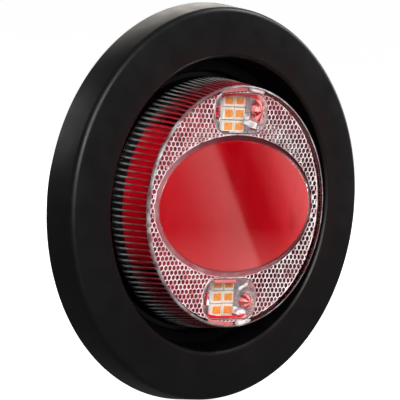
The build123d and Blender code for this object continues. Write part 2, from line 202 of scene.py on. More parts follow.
class LampColours(bpy.types.PropertyGroup):
    rubber: colour("Rubber", "Black rubber", (0.0046, 0.0048, 0.0052))
    # Painted shade: the recess's rubber is made darker than the flange's to stand in for the shade in the
    # recess.
    recess: colour("Recess rubber", "Rubber of the recess, darker as painted shade", (0.0016, 0.0015, 0.0018))
    red: colour("Red lens", "Deep red plastic", (0.31, 0.0004, 0.0035))
    # Painted sheen: the pale red that paints reflections on the oval.
    red_sheen: colour("Red lens, light", "Pale red of the oval's painted sheen", (0.49, 0.006, 0.012))
    skirt: colour("Red skirt", "Red plastic behind the flutes", (0.95, 0.003, 0.016))
    # Painted light: a lit copy of the red plastic.
    salmon: colour("Red lens, lit", "Red plastic with painted light", (0.85, 0.3, 0.28))
    amber: colour("Amber", "Phosphor of the LEDs", (0.72, 0.2, 0.015))
    # Painted highlight: the prisms' ridges are painted this bright colour.
    ridge: colour("Prism ridge", "Ridges of the prisms", (0.95, 0.86, 0.87))
    # Painted light: the wine red of the prism hollows, the red lens seen through them painted in.
    prism: colour("Prism", "Hollows of the prisms", (0.13, 0.004, 0.012))


class StudioSettings(bpy.types.PropertyGroup):
    camera_place: FloatVectorProperty(
        name="Camera place",
        description="Where the camera stands",
        default=(-0.669219, -0.701755, 0.061363),
        subtype="TRANSLATION",
        precision=6,
    )
    camera_turn: angle("Camera turn", "How far round to the lamp's right the camera looks from", -43.708)
    camera_rise: angle("Camera rise", "How far above the lamp the camera looks from", 3.601)
    camera_roll: angle("Camera roll", "How far the camera leans over", 3.522)
    lens_length: FloatProperty(
        name="Lens", description="Focal length of the camera, in millimetres", default=376.64
    )
    floor_brightness: FloatProperty(
        name="Floor", description="How bright the floor is in its shadows", default=0.9
    )
    surround_brightness: FloatProperty(
        name="Surroundings", description="How brightly the surroundings light the lamp", default=0.1
    )


SETTINGS = {
    "grommet_sizes": GrommetSizes,
    "lens_sizes": LensSizes,
    "prism_sizes": PrismSizes,
    "window_sizes": WindowSizes,
    "lamp_colours": LampColours,
    "studio_settings": StudioSettings,
}


# ---- surfaces ----


class Surface:
    """A material being made: one Principled shader, with noise wired into it on Object coordinates."""

    def __init__(self, name, base, roughness, **sockets):
        self.material = bpy.data.materials.new(name)
        self.material.use_nodes = True
        self.tree = self.material.node_tree
        self.shader = self.tree.nodes["Principled BSDF"]
        self.place = self.node("ShaderNodeTexCoord").outputs["Object"]
        self.shader.inputs["Base Color"].default_value = (*base, 1.0)
        self.shader.inputs["Roughness"].default_value = roughness
        for socket, value in sockets.items():
            self.shader.inputs[socket.replace("_", " ")].default_value = value

    def node(self, kind, **values):
        made = self.tree.nodes.new(kind)
        for name, value in values.items():
            setattr(made, name, value)
        return made

    def link(self, source, target):
        self.tree.links.new(source, target)

    def axis(self, letter):
        """How far along X, Y or Z a point of the surface lies."""
        parts = self.node("ShaderNodeSeparateXYZ")
        self.link(self.place, parts.inputs["Vector"])
        return parts.outputs[letter]

    def noise(self, size, detail=3.0, stretch=(1.0, 1.0, 1.0)):
        """Noise whose blobs are about `size` metres across, drawn out by a stretch along each axis."""
        mapping = self.node("ShaderNodeMapping")
        mapping.inputs["Scale"].default_value = stretch
        self.link(self.place, mapping.inputs["Vector"])
        noise = self.node("ShaderNodeTexNoise")
        noise.inputs["Scale"].default_value = 1.0 / size
        noise.inputs["Detail"].default_value = detail
        self.link(mapping.outputs["Vector"], noise.inputs["Vector"])
        return noise.outputs["Fac"]

    def span(self, value, low, high, new_low=0.0, new_high=1.0):
        """Rescale a value from one range to another, held at the ends."""
        spread = self.node("ShaderNodeMapRange")
        for socket, number in zip(spread.inputs[1:5], (low, high, new_low, new_high)):
            socket.default_value = number
        self.link(value, spread.inputs["Value"])
        return spread.outputs["Result"]

    def mix(self, factor, first, second):
        """Mix two colours, each a colour or the output of a node."""
        mixer = self.node("ShaderNodeMix", data_type="RGBA")
        self.link(factor, mixer.inputs["Factor"])
        for socket, value in ((mixer.inputs["A"], first), (mixer.inputs["B"], second)):
            if isinstance(value, bpy.types.NodeSocket):
                self.link(value, socket)
            else:
                socket.default_value = (*value, 1.0)
        return mixer.outputs["Result"]

    def spots(self, size, first, second, low=0.35, high=0.65, most=1.0, **noise):
        """Blotches of a second colour on a first, about `size` metres across."""
        return self.mix(self.span(self.noise(size, **noise), low, high, 0.0, most), first, second)

    def set_colour(self, value):
        self.link(value, self.shader.inputs["Base Color"])
        return self

    def vary_colour(self, *colours, **noise):
        return self.set_colour(self.spots(*colours, **noise))

    def vary_roughness(self, size, low, high):
        value = self.span(self.noise(size), NOISE_LOW, NOISE_HIGH, low, high)
        self.link(value, self.shader.inputs["Roughness"])
        return self

    def add_bump(self, size, depth, strength, **noise):
        bump = self.node("ShaderNodeBump")
        bump.inputs["Strength"].default_value = strength
        bump.inputs["Distance"].default_value = depth
        self.link(self.noise(size, **noise), bump.inputs["Height"])
        self.link(bump.outputs["Normal"], self.shader.inputs["Normal"])
        return self

    def let_light_through(self):
        """Clear parts cast no shadow, so that light reaches what is behind them."""
        output = self.tree.nodes["Material Output"]
        clear = self.node("ShaderNodeBsdfTransparent")
        chooser = self.node("ShaderNodeMixShader")
        path = self.node("ShaderNodeLightPath")
        self.link(path.outputs["Is Shadow Ray"], chooser.inputs["Fac"])
        self.link(self.shader.outputs["BSDF"], chooser.inputs[1])
        self.link(clear.outputs["BSDF"], chooser.inputs[2])
        self.link(chooser.outputs["Shader"], output.inputs["Surface"])
        return self


def rubber_surfaces(colours):
    """Satin moulded rubber, and the recess's: duller, and darker as painted shade in the recess."""
    satin = Surface("grommet rubber", colours.rubber, 0.38, IOR=1.45)
    satin.vary_colour(14 * MM, colours.rubber, 1.6 * colours.rubber).vary_roughness(5 * MM, 0.32, 0.44)
    dull = Surface("recess rubber with painted shade", colours.recess, 0.6, IOR=1.45, Specular_IOR_Level=0.12)
    dull.vary_colour(9 * MM, colours.recess, 0.4 * colours.recess).vary_roughness(5 * MM, 0.5, 0.7)
    return [rubber.add_bump(0.5 * MM, 0.03 * MM, 0.35, detail=4.0).material for rubber in (satin, dull)]


def clear_surface(name):
    """Clear polished plastic with faint moulding flow and fine wear."""
    surface = Surface(name, (0.985, 0.985, 0.985), 0.02, IOR=1.49, Transmission_Weight=1.0)
    surface.vary_roughness(3 * MM, 0.01, 0.045).add_bump(10 * MM, 0.01 * MM, 0.1)
    return surface.let_light_through().material


def red_surface(colours):
    """Deep red polished plastic, paler where it is thin."""
    surface = Surface(
        "red lens plastic", colours.skirt, 0.12, IOR=1.5, Coat_Weight=0.6, Coat_Roughness=0.04
    )
    surface.vary_colour(9 * MM, colours.skirt, 0.7 * colours.skirt, 0.4, 0.75)
    return surface.vary_roughness(4 * MM, 0.08, 0.2).add_bump(7 * MM, 0.02 * MM, 0.15).material


def oval_surface(colours):
    """Polished red oval with painted reflection: paler towards the left, pale with dark blotches towards
    the right, and pinkish towards the bottom.
    """
    surface = Surface("red oval plastic", colours.red, 0.1, IOR=1.5, Coat_Weight=1.0, Coat_Roughness=0.03)
    deep, pale = colours.red, colours.red_sheen
    # Painted reflection: the left pales, the right turns pale red with dark blotches, and the bottom turns
    # pink.
    right = surface.span(surface.axis("X"), 8 * MM, 23 * MM)
    left = surface.span(surface.axis("X"), 2 * MM, -22 * MM, 0.0, 0.55)
    low = surface.span(surface.axis("Z"), -5 * MM, -15 * MM, 0.0, 0.4)
    mottled = surface.spots(9 * MM, deep, pale, 0.35, 0.7, 0.35, stretch=(2.0, 1.0, 0.3))
    blotches = surface.spots(6 * MM, pale, deep, 0.5, 0.66, 0.8, stretch=(1.6, 1.0, 0.5))
    lit = surface.mix(left, surface.mix(right, mottled, blotches), pale)
    surface.set_colour(surface.mix(low, lit, (0.7, 0.11, 0.11)))
    return surface.vary_roughness(6 * MM, 0.04, 0.12).add_bump(10 * MM, 0.01 * MM, 0.1).material


def brim_surface(colours):
    """The oval's brim, with painted light and shade: pinkish grey at the left and below, dark wine at the
    right and above.
    """
    surface = Surface("oval brim plastic", colours.red, 0.2, IOR=1.5, Coat_Weight=0.5)
    rise = surface.node("ShaderNodeMath", operation="MULTIPLY_ADD")
    rise.inputs[1].default_value = 1.3
    surface.link(surface.axis("Z"), rise.inputs[0])
    surface.link(surface.axis("X"), rise.inputs[2])
    shade = surface.span(rise.outputs["Value"], -14 * MM, 16 * MM)
    pink = surface.spots(4 * MM, (0.42, 0.19, 0.2), (0.36, 0.05, 0.07), 0.35, 0.7)
    surface.set_colour(surface.mix(shade, pink, (0.09, 0.003, 0.01)))
    return surface.add_bump(2 * MM, 0.03 * MM, 0.3).material


def flute_highlight_surface():
    """Painted highlight along the tips of the clear flutes: whitish grey at the foot, turning pink towards
    the face.
    """
    surface = Surface("painted flute highlight", (0.7, 0.7, 0.72), 0.3, IOR=1.49)
    foot = surface.span(surface.axis("Y"), -9.5 * MM, -6.5 * MM)
    grey = surface.spots(3 * MM, (0.62, 0.62, 0.63), (0.3, 0.3, 0.31), 0.35, 0.7)
    pink = surface.spots(2 * MM, (0.5, 0.13, 0.16), (0.36, 0.03, 0.05), 0.35, 0.7)
    return surface.set_colour(surface.mix(foot, pink, grey)).vary_roughness(1 * MM, 0.2, 0.4).material


def ridge_surface(colours):
    """Moulded ridges between the prisms, painted bright as their highlights, with pinkish patches."""
    surface = Surface("prism ridge", colours.ridge, 0.14, IOR=1.49, Coat_Weight=1.0)
    surface.vary_colour(2.2 * MM, colours.ridge, (0.56, 0.25, 0.27), 0.42, 0.7)
    return surface.vary_roughness(1 * MM, 0.08, 0.3).add_bump(0.8 * MM, 0.03 * MM, 0.3).material


def prism_surface(colours):
    """Prism hollows with painted light and shade: wine red at the left, painting the red lens seen through
    them, near black to the right as painted shade.
    """
    surface = Surface("prism hollow", colours.prism, 0.1, IOR=1.49, Coat_Weight=1.0, Coat_Roughness=0.03)
    # Painted light and shade across the field: wine red at the left, near black at the right.
    across = surface.span(surface.axis("X"), -6 * MM, 15 * MM)
    wine = surface.spots(2.5 * MM, colours.prism, (0.26, 0.01, 0.03), 0.4)
    surface.set_colour(surface.mix(across, wine, (0.02, 0.004, 0.006)))
    return surface.vary_roughness(1.5 * MM, 0.05, 0.2).material


def edge_surface():
    """Light caught in the clear lens's rounded edge, broken into brighter and darker stretches."""
    surface = Surface("lens edge highlight", (0.8, 0.8, 0.82), 0.15, IOR=1.49, Coat_Weight=1.0)
    greys = surface.spots(7 * MM, (0.72, 0.7, 0.72), (0.26, 0.2, 0.21), 0.38, 0.58)
    surface.vary_colour(4 * MM, greys, (0.35, 0.09, 0.11), 0.5, 0.62, 0.85, stretch=(1.0, 1.0, 1.7))
    return surface.vary_roughness(2 * MM, 0.08, 0.25).material


def chrome_surface():
    """Bright metallised plastic with slight ripple and haze."""
    surface = Surface("bright reflector", (0.9, 0.9, 0.92), 0.2, Metallic=0.75)
    surface.vary_colour(2 * MM, (0.93, 0.93, 0.94), (0.6, 0.61, 0.64))
    return surface.vary_roughness(1 * MM, 0.1, 0.3).add_bump(1.2 * MM, 0.05 * MM, 0.3).material


def reflection_facet_surface():
    """Painted reflections on facets of the optics: bright, with grey streaks at random."""
    surface = Surface("facet with painted reflection", (0.9, 0.9, 0.91), 0.15, IOR=1.49, Coat_Weight=1.0)
    bright, grey = (0.95, 0.94, 0.95), (0.36, 0.32, 0.35)
    surface.vary_colour(1.3 * MM, bright, grey, 0.46, 0.66, stretch=(0.6, 1.0, 1.6))
    return surface.vary_roughness(1 * MM, 0.08, 0.2).material


def facet_surface():
    """Red faceted plastic with painted light and shade: wine and red patches at random, and pink streaks of
    painted highlight.
    """
    surface = Surface("red facet plastic", (0.4, 0.004, 0.012), 0.12, IOR=1.5, Coat_Weight=1.0)
    wine = surface.spots(0.9 * MM, (0.14, 0.001, 0.008), (0.5, 0.004, 0.015), 0.42, 0.58)
    surface.vary_colour(0.7 * MM, wine, (0.8, 0.3, 0.28), 0.55, 0.66, stretch=(0.5, 1.0, 1.6))
    return surface.vary_roughness(1 * MM, 0.06, 0.2).material


def phosphor_surface(colours):
    """Amber silicone over the LED chips, mottled where the chips lie under it."""
    glow = (*colours.amber, 1.0)
    surface = Surface(
        "amber phosphor", colours.amber, 0.35, IOR=1.45, Emission_Strength=0.0, Emission_Color=glow
    )
    surface.vary_colour(0.5 * MM, colours.amber, (0.8, 0.33, 0.07), 0.4, 0.62, detail=5.0)
    return surface.add_bump(0.25 * MM, 0.03 * MM, 0.4).material


def plastic_surface(name, base, other, roughness):
    """Moulded plastic or resin with mottled colour, uneven gloss and a fine grain."""
    surface = Surface(name, base, roughness).vary_colour(6 * MM, base, other)
    surface.vary_roughness(3 * MM, 0.8 * roughness, 1.25 * roughness)
    return surface.add_bump(0.4 * MM, 0.03 * MM, 0.3, detail=4.0).material


def metal_surface(name, base, other, roughness):
    """Plated or machined metal with drawn-out scratches and dull spots."""
    surface = Surface(name, base, roughness, Metallic=1.0).vary_colour(2 * MM, base, other)
    surface.vary_roughness(1.5 * MM, 0.7 * roughness, 1.5 * roughness)
    return surface.add_bump(0.3 * MM, 0.02 * MM, 0.3, detail=4.0, stretch=(1.0, 8.0, 1.0)).material


def card_surface():
    """Light that grows towards a slanting edge, stops there, and comes back at the right."""
    material = bpy.data.materials.new("reflected card")
    material.use_nodes = True
    tree = material.node_tree
    tree.nodes.clear()
    place = tree.nodes.new("ShaderNodeTexCoord")
    centre = tree.nodes.new("ShaderNodeVectorMath")
    centre.operation = "SUBTRACT"
    centre.inputs[1].default_value = CARD_CENTRE
    slant = tree.nodes.new("ShaderNodeVectorMath")
    slant.operation = "DOT_PRODUCT"
    slant.inputs[1].default_value = CARD_SLANT / CARD_SPREAD
    spread = tree.nodes.new("ShaderNodeMapRange")
    for socket, number in zip(spread.inputs[1:5], (-CARD_REACH, CARD_REACH, 0.0, 1.0)):
        socket.default_value = number
    ramp = tree.nodes.new("ShaderNodeValToRGB")
    stops = ramp.color_ramp.elements
    stops[0].position, stops[1].position = CARD_STOPS[0][0], CARD_STOPS[-1][0]
    for position, _ in CARD_STOPS[1:-1]:
        stops.new(position)
    for stop, (_, rgb) in zip(stops, CARD_STOPS):
        stop.color = (*rgb, 1.0)
    light = tree.nodes.new("ShaderNodeEmission")
    light.inputs["Strength"].default_value = CARD_STRENGTH
    output = tree.nodes.new("ShaderNodeOutputMaterial")
    for source, target in (
        (place.outputs["Object"], centre.inputs[0]),
        (centre.outputs["Vector"], slant.inputs[0]),
        (slant.outputs["Value"], spread.inputs["Value"]),
        (spread.outputs["Result"], ramp.inputs["Fac"]),
        (ramp.outputs["Color"], light.inputs["Color"]),
        (light.outputs["Emission"], output.inputs["Surface"]),
    ):
        tree.links.new(source, target)
    return material


# ---- shaping ----

UPRIGHT = Matrix.Rotation(math.pi / 2, 4, "X")
SHARP = math.radians(32)
FLAT_FACE_CORNERS = 30  # a face with more corners than this is a flat end, and its edge is crisp


def new_object(name, shape):
    """Turn a finished bmesh into an object in the scene."""
    mesh = bpy.data.meshes.new(name)
    shape.to_mesh(mesh)
    shape.free()
    made = bpy.data.objects.new(name, mesh)
    bpy.context.scene.collection.objects.link(made)
    return made


def add_piece(name, shape, materials, replaced=(), body="lamp"):
    """Turn a finished bmesh into a piece that rides on a CAD body."""
    piece = new_object(name, shape)
    for material in materials:
        piece.data.materials.append(material)
    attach(piece, body)
    if replaced:
        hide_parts(*replaced)
    return piece


def thicken(piece, thickness):
    """Give a piece that is one sheet its wall, on the inside."""
    wall = piece.modifiers.new("wall", "SOLIDIFY")
    wall.thickness = thickness
    wall.offset = -1.0


def smooth_shading(shape):
    """Smooth every face, and keep an edge crisp where its faces turn sharply."""
    for face in shape.faces:
        face.smooth = True
    for edge in shape.edges:
        borders_flat = any(len(face.verts) > FLAT_FACE_CORNERS for face in edge.link_faces)
        edge.smooth = not (edge.is_manifold and (borders_flat or edge.calc_face_angle() > SHARP))


def finish_shape(shape):
    """Close up, point the faces outwards and shade."""
    bmesh.ops.remove_doubles(shape, verts=shape.verts[:], dist=1e-7)
    bmesh.ops.recalc_face_normals(shape, faces=shape.faces[:])
    smooth_shading(shape)


def bevel(shape, geometry, offset, segments, affect="EDGES"):
    bmesh.ops.bevel(
        shape,
        geom=geometry,
        offset=offset,
        offset_type="OFFSET",
        affect=affect,
        segments=segments,
        profile=0.5,
        material=-1,
    )


def outline(corners):
    """A flat closed outline in the XY plane. Each corner is (radius, y, rounding)."""
    shape = bmesh.new()
    vertices = [shape.verts.new((radius, y, 0.0)) for radius, y, _ in corners]
    shape.faces.new(vertices)
    for vertex, (_, _, rounding) in zip(vertices, corners):
        if rounding:
            first, second = (edge.other_vert(vertex).co - vertex.co for edge in vertex.link_edges)
            bevel(shape, [vertex], rounding / math.tan(first.angle(second) / 2), 5, "VERTICES")
    bmesh.ops.delete(shape, geom=shape.faces[:], context="FACES_ONLY")
    return shape


def turn(shape, steps):
    """Turn an outline a full circle about the lamp's axis."""
    bmesh.ops.spin(
        shape,
        geom=shape.verts[:] + shape.edges[:],
        cent=(0, 0, 0),
        axis=(0, 1, 0),
        angle=2 * math.pi,
        steps=steps,
        use_merge=True,
    )
    bmesh.ops.remove_doubles(shape, verts=shape.verts[:], dist=1e-6)


def add_ring(name, corners, steps, material, replaced=()):
    """A ring turned from an outline's corners."""
    shape = outline(corners)
    turn(shape, steps)
    finish_shape(shape)
    add_piece(name, shape, [material], replaced)


def edges_at(shape, y):
    """The edges of a shape that lie at one y."""
    return [edge for edge in shape.edges if all(abs(v.co.y - y) < 1e-6 for v in edge.verts)]


def open_loop(shape, y):
    return [edge for edge in edges_at(shape, y) if edge.is_boundary]


def draw_in(shape, loop, scale, move):
    """Extrude a loop of edges, then scale and move its far side. Returns the new loop."""
    made = bmesh.ops.extrude_edge_only(shape, edges=loop)["geom"]
    vertices = [item for item in made if isinstance(item, bmesh.types.BMVert)]
    bmesh.ops.scale(shape, vec=scale, verts=vertices)
    bmesh.ops.translate(shape, vec=move, verts=vertices)
    return [item for item in made if isinstance(item, bmesh.types.BMEdge) and item.is_boundary]


def push_back(shape, faces, depth):
    """Extrude flat faces to a depth. Returns the vertices of their far side."""
    made = bmesh.ops.extrude_face_region(shape, geom=faces)["geom"]
    vertices = [item for item in made if isinstance(item, bmesh.types.BMVert)]
    bmesh.ops.translate(shape, vec=(0, depth, 0), verts=vertices)
    return vertices


def scale_about(centre, across, up):
    """Scale across and up about a centre."""
    return Matrix.Translation(centre) @ Matrix.Diagonal((across, 1, up, 1)) @ Matrix.Translation(-centre)


def oval_plate(half_width, half_height, y, depth):
    """An oval plate, or with more depth a tower."""
    shape = bmesh.new()
    bmesh.ops.create_circle(shape, cap_ends=True, segments=128, radius=1.0)
    place = Matrix.Translation((0, y, 0)) @ Matrix.Diagonal((half_width, 1, half_height, 1))
    bmesh.ops.transform(shape, matrix=place @ UPRIGHT, verts=shape.verts[:])
    push_back(shape, shape.faces[:], depth)
    return shape


def rounded_plate(windows, inset, y, z):
    """A flat face with a window's outline, drawn in by an inset."""
    shape = bmesh.new()
    half_x = windows.width / 2 - inset
    half_z = windows.height / 2 - inset
    corners = [(-half_x, -half_z), (half_x, -half_z), (half_x, half_z), (-half_x, half_z)]
    vertices = [shape.verts.new((px, y, z + pz)) for px, pz in corners]
    shape.faces.new(vertices)
    reach = min(windows.corner, half_z - 0.05 * MM) - inset
    bevel(shape, vertices, reach, 10, "VERTICES")
    return shape


def add_block(shape, centre, size, rounding):
    """A block with rounded edges."""
    made = bmesh.ops.create_cube(shape, size=1.0)["verts"]
    place = Matrix.Translation(centre) @ Matrix.Diagonal((*size, 1.0))
    bmesh.ops.transform(shape, matrix=place, verts=made)
    bevel(shape, list({edge for vertex in made for edge in vertex.link_edges}), rounding, 2)


def spread(low, high, size, index, count):
    """Centre of one of `count` pieces of a size, set out evenly between two ends."""
    first = low + size / 2
    last = high - size / 2
    return first + (last - first) * index / (count - 1)


def radius_of(point):
    """A point's distance from the lamp's axis."""
    return math.hypot(point.x, point.z)


def column(vertex, count):
    """Which of `count` even steps round the axis a vertex stands on."""
    return round(math.atan2(vertex.co.z, vertex.co.x) / (2 * math.pi) * count) % count


def stretch_radius(vertex, amount):
    """Move a vertex away from the lamp's axis."""
    out = Vector((vertex.co.x, 0.0, vertex.co.z)).normalized()
    vertex.co += amount * out


# ---- pieces ----


class GrommetPiece(bpy.types.Operator):
    """Make the rubber grommet: a thick front flange, a groove for the panel and a tapered tail"""

    bl_idname = "tail_lamp.grommet"
    bl_label = "Rubber grommet"

    def execute(self, context):
        sizes = context.scene.grommet_sizes
        front = GROMMET_LOW.y
        back = GROMMET_HIGH.y
        lip_front = front + sizes.recess_depth
        seat_front = lip_front + sizes.lip_thickness
        seat_back = HOUSING_FLANGE_BACK + sizes.seat_gap
        seat_radius = LENS_HIGH.x + sizes.seat_gap
        small, foot_round, lip_round = 0.4 * MM, 0.6 * MM, 0.3 * MM
        corners = [
            (sizes.mouth_radius, front, sizes.mouth_round),
            (sizes.flange_front_radius, front + sizes.face_fall, sizes.edge_round),
            (sizes.flange_front_radius + sizes.flange_flare, 0.0, foot_round),
            (sizes.neck_radius, 0.0, 0.0),
            (sizes.neck_radius, sizes.groove_width, 0.0),
            (sizes.rear_lip_radius, sizes.groove_width, small),
            (sizes.rear_lip_radius, sizes.groove_width + sizes.rear_lip_rim, small),
            (sizes.tail_radius, back, small),
            (sizes.bore_radius, back, small),
            (sizes.bore_radius, seat_back, small),
            (seat_radius, seat_back, 0.0),
            (seat_radius, seat_front, 0.0),
            (sizes.lip_radius, seat_front, lip_round),
            (sizes.lip_radius, lip_front, lip_round),
            (sizes.recess_floor_radius, lip_front, small),
        ]
        shape = outline(corners)
        steps = 2 * sizes.rib_count
        turn(shape, steps)
        wall_front = front + sizes.mouth_round - small
        for vertex in shape.verts:
            on_wall = sizes.recess_floor_radius - small < radius_of(vertex.co) < sizes.mouth_radius
            if on_wall and wall_front < vertex.co.y < lip_front and column(vertex, steps) % 2:
                stretch_radius(vertex, -sizes.rib_height)
        finish_shape(shape)
        # Faces inside the recess take the darker rubber, painted shade.
        for face in shape.faces:
            middle = face.calc_center_median()
            inside = radius_of(middle) < sizes.mouth_radius - 0.1 * MM
            face.material_index = int(inside and middle.y < seat_front)
        rubbers = rubber_surfaces(context.scene.lamp_colours)
        add_piece("grommet_ring", shape, rubbers, ["rubber_grommet"], "grommet")
        return {"FINISHED"}


class ClearLensPiece(bpy.types.Operator):
    """Make the clear lens: a flange, a fluted wall and a flat face with an oval recess"""

    bl_idname = "tail_lamp.clear_lens"
    bl_label = "Clear lens"

    def execute(self, context):
        sizes = context.scene.lens_sizes
        face = LENS_LOW.y
        back = LENS_HIGH.y
        flange_front = back - sizes.flange_thickness
        flute_back = flange_front - sizes.flute_foot
        flute_front = face + sizes.flute_rim
        inside = face + sizes.face_thickness
        valley = sizes.foot_radius - sizes.flute_depth
        flute_step, flange_round, pocket_gap = 0.15 * MM, 0.3 * MM, 0.1 * MM
        face_circle = sizes.face_radius - sizes.face_round - 0.5 * MM
        cavity = sizes.wall_front_radius
        shape = outline(
            [
                (face_circle, face, 0.0),
                (sizes.face_radius, face, sizes.face_round),
                (sizes.face_radius, flute_front, 0.0),
                (sizes.foot_radius, flute_back - flute_step, 0.0),
                (valley, flute_back, 0.0),
                (valley, flange_front, 0.0),
                (LENS_HIGH.x, flange_front, flange_round),
                (LENS_HIGH.x, back, 0.0),
                (sizes.wall_foot_radius, back, 0.0),
                (cavity, inside, 0.0),
            ]
        )
        ends = {round(face, 6), round(inside, 6)}
        joining = [edge for edge in shape.edges if {round(v.co.y, 6) for v in edge.verts} == ends]
        bmesh.ops.delete(shape, geom=joining, context="EDGES")
        steps = 4 * sizes.flute_count
        turn(shape, steps)
        for vertex in shape.verts:
            at_foot = abs(radius_of(vertex.co) - sizes.foot_radius) < 1e-6
            if at_foot or abs(vertex.co.y - flute_front) < 1e-6:
                turned = 2 * math.pi * column(vertex, steps) / 4
                stretch_radius(vertex, -sizes.flute_depth * (1 - math.cos(turned)) / 2)
        inner = (sizes.oval_half_width, sizes.oval_half_height)
        outer = [half + sizes.oval_bevel for half in inner]
        pocket = [half - pocket_gap for half in inner]
        slope = (inner[0] / outer[0], 1, inner[1] / outer[1])
        rim = (outer[0] / face_circle, 1, outer[1] / face_circle)
        loop = draw_in(shape, open_loop(shape, face), rim, (0, 0, 0))
        loop = draw_in(shape, loop, slope, (0, sizes.oval_recess, 0))
        bmesh.ops.contextual_create(shape, geom=loop)
        mouth = (pocket[0] / cavity, 1, pocket[1] / cavity)
        loop = draw_in(shape, open_loop(shape, inside), mouth, (0, 0, 0))
        loop = draw_in(shape, loop, (1, 1, 1), (0, -sizes.pocket_depth, 0))
        bmesh.ops.contextual_create(shape, geom=loop)
        finish_shape(shape)
        add_piece("lens_cap", shape, [clear_surface("clear lens plastic")], ["outer_lens"])
        self.add_edge_highlight(sizes, face)
        self.add_foot_shade_band(valley + 0.02 * MM, flute_back + 0.1 * MM, flange_front)
        return {"FINISHED"}

    def add_foot_shade_band(self, inside, front, flange_front):
        """A black band round the lens's foot, inside the grommet's lip: painted shade, put where the gap
        behind the lip lies in shadow.
        """
        outside = inside + 1.43 * MM
        crest = inside + 0.08 * MM
        corners = [
            (inside, front, 0.0),
            (crest, front, 0.0),
            (crest, flange_front - 0.5 * MM, 0.3 * MM),
            (outside, flange_front - 0.4 * MM, 0.2 * MM),
            (outside, flange_front - 0.02 * MM, 0.0),
            (inside, flange_front - 0.02 * MM, 0.0),
        ]
        rubber = plastic_surface("foot shade black", (0.002, 0.002, 0.002), (0.004, 0.004, 0.004), 0.2)
        add_ring("foot_shade_band", corners, 180, rubber)

    def add_edge_highlight(self, sizes, face):
        """A painted highlight: the bright line of the face's rounded edge."""
        wall = 0.1 * MM
        outside = sizes.face_radius + 0.03 * MM
        start = sizes.face_radius - sizes.face_round
        front = face + 0.01 * MM
        back = face + sizes.face_round + 0.05 * MM
        corners = [
            (start, front, 0.0),
            (outside, front, sizes.face_round),
            (outside, back, 0.0),
            (outside - wall, back, 0.0),
            (outside - wall, front + wall, sizes.face_round - wall),
            (start, front + wall, 0.0),
        ]
        add_ring("lens_edge", corners, 240, edge_surface())


class FluteHighlights(bpy.types.Operator):
    """Make strips of painted highlight on the flutes' tips: blunt at the foot, drawn out thin towards the
    face
    """

    bl_idname = "tail_lamp.flute_ridges"
    bl_label = "Flute highlights"

    def execute(self, context):
        sizes = context.scene.lens_sizes
        foot_half_width, taper, crown = 0.34 * MM, 0.24 * MM, 0.05 * MM
        flute_half_width, foot_gap, wall = 0.76 * MM, 0.2 * MM, 0.04 * MM
        fall = 2.2 * sizes.flute_depth  # from a flute's tip to its foot, were it a parabola
        front = LENS_LOW.y + sizes.flute_rim
        foot = LENS_HIGH.y - sizes.flange_thickness - sizes.flute_foot - foot_gap
        shape = bmesh.new()
        for index in range(sizes.flute_count):
            made = bmesh.ops.create_grid(shape, x_segments=2, y_segments=6, size=1.0)["verts"]
            for vertex in made:
                share = (vertex.co.y + 1.0) / 2
                across = vertex.co.x * (foot_half_width - taper * share**0.6)
                base = sizes.foot_radius + share * (sizes.face_radius - sizes.foot_radius)
                rise = crown * (1.0 - vertex.co.x**2)
                sink = fall * (across / flute_half_width) ** 2
                vertex.co = Vector((base + rise - sink, foot + share * (front - foot), across))
            turn_to = Matrix.Rotation(2 * math.pi * index / sizes.flute_count, 4, "Y")
            bmesh.ops.transform(shape, matrix=turn_to, verts=made)
        bmesh.ops.recalc_face_normals(shape, faces=shape.faces[:])
        for face in shape.faces:
            face.smooth = True
            out = face.calc_center_median()
            out.y = 0.0
            if face.normal.dot(out) < 0:
                face.normal_flip()
        thicken(add_piece("flute_ridges", shape, [flute_highlight_surface()]), wall)
        return {"FINISHED"}


class RedLensPiece(bpy.types.Operator):
    """Make the red inner lens: a skirt with its sleeve, and an oval tower with its brim up to the clear
    lens
    """

    bl_idname = "tail_lamp.red_lens"
    bl_label = "Red inner lens"

    def execute(self, context):
        sizes = context.scene.lens_sizes
        colours = context.scene.lamp_colours
        gap, wall = sizes.red_gap, sizes.red_wall
        front_radius = sizes.wall_front_radius - gap
        skirt_front = LENS_LOW.y + sizes.face_thickness + 6 * gap
        back = RED_HIGH.y
        sleeve_back = back + sizes.sleeve_length
        wall_length = LENS_HIGH.y - LENS_LOW.y - sizes.face_thickness
        lean = (sizes.wall_foot_radius - sizes.wall_front_radius) / wall_length
        sleeve_radius = RED_HIGH.x + lean * sizes.sleeve_length
        corners = [
            (front_radius - gap, skirt_front, 0.0),
            (front_radius, skirt_front + gap, 0.0),
            (sleeve_radius, sleeve_back, 0.0),
            (sleeve_radius - sizes.sleeve_wall, sleeve_back, 0.0),
            (RED_HIGH.x - sizes.sleeve_wall, back, 0.0),
            (RED_HIGH.x - wall, back, 0.0),
            (front_radius - wall, skirt_front + wall, 0.0),
        ]
        add_ring("red_skirt", corners, 180, red_surface(colours), ["red_inner_lens"])
        top = RED_LOW.y
        top_round, brim_width, brim_drop, brim_thickness = 0.35 * MM, 1.6 * MM, 0.8 * MM, 0.5 * MM
        half_width, half_height = sizes.oval_half_width - 2 * gap, sizes.oval_half_height - 2 * gap
        tower = oval_plate(half_width, half_height, back, top - back)
        bevel(tower, edges_at(tower, top), top_round, 3)
        finish_shape(tower)
        add_piece("red_oval", tower, [oval_surface(colours)])
        brim_half = (half_width + brim_width, half_height + brim_width)
        brim = oval_plate(*brim_half, top + brim_drop, brim_thickness)
        finish_shape(brim)
        add_piece("oval_brim", brim, [brim_surface(colours)])
        return {"FINISHED"}


